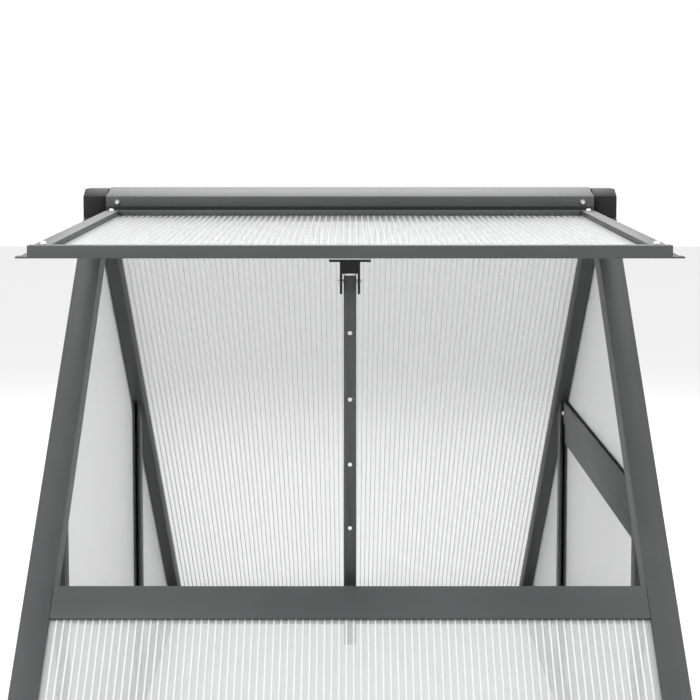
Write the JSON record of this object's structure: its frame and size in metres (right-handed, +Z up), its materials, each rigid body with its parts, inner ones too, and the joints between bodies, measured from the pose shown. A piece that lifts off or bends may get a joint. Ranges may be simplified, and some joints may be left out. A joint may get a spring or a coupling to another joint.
{
  "type": "cold frame",
  "caption": "A-frame cold frame of slotted profiles and clear sheets, with a hinged roof light held open by a stay.",
  "frame": {"origin": "on the ground, midway between the sides, under the ridge", "axes": "+X along the ridge to the side with the rail, +Y to the back, +Z up; the lid is on the -Y side"},
  "size_m": [0.6, 1.9708, 0.6945],
  "materials": {
    "powder_coat": "dark grey powder coat",
    "black_plastic": "moulded, matt",
    "grey_plastic": "moulded, matt",
    "polycarbonate": "clear twin-wall sheet, ribbed",
    "bright_steel": "zinc plated"
  },
  "bodies": {
    "frame": {"back_base_rail": "powder_coat", "back_sheet": "polycarbonate", "front_base_rail": "powder_coat", "front_sheet": "polycarbonate", "front_sill": "powder_coat", "left_back_foot": "black_plastic", "left_back_post": "powder_coat", "left_back_rafter": "powder_coat", "left_base_rail": "powder_coat", "left_front_foot": "black_plastic", "left_front_post": "powder_coat", "left_front_rafter": "powder_coat", "left_ridge_cap": "black_plastic", "left_side_sheet": "polycarbonate", "ridge_bar": "powder_coat", "ridge_screw_1": "bright_steel", "ridge_screw_2": "bright_steel", "ridge_screw_3": "bright_steel", "ridge_screw_4": "bright_steel", "right_back_foot": "black_plastic", "right_back_post": "powder_coat", "right_back_rafter": "powder_coat", "right_base_rail": "powder_coat", "right_front_foot": "black_plastic", "right_front_post": "powder_coat", "right_front_rafter": "powder_coat", "right_lower_side_sheet": "polycarbonate", "right_ridge_cap": "black_plastic", "right_side_rail": "powder_coat", "right_upper_side_sheet": "polycarbonate", "side_rail_screw_1": "bright_steel", "side_rail_screw_2": "bright_steel", "stay_peg": "bright_steel"},
    "lid": {"lid_front_rail": "powder_coat", "lid_left_rail": "powder_coat", "lid_rear_rail": "powder_coat", "lid_right_rail": "powder_coat", "lid_screw_1": "bright_steel", "lid_screw_2": "bright_steel", "lid_screw_3": "bright_steel", "lid_screw_4": "bright_steel", "lid_sheet": "polycarbonate", "stay_bracket": "black_plastic", "stay_bracket_pad": "grey_plastic", "stay_pin": "bright_steel"},
    "stay": {"stay_arm": "powder_coat"}
  },
  "joints": [
    {"name": "lid_hinge", "type": "hinge", "parent": "frame", "child": "lid", "pos_m": [0, -0.04632, 0.6655], "axis": [-1, 0, 0], "range_deg": [-33.6, 0]},
    {"name": "stay_pivot", "type": "hinge", "parent": "lid", "child": "stay", "pos_m": [0, -0.54763, 0.62437], "axis": [-1, 0, 0], "range_deg": [-75, 0]}
  ],
  "couplings": [
    {"joint": "stay_pivot", "follows": "lid_hinge", "ratio": 2.2}
  ]
}
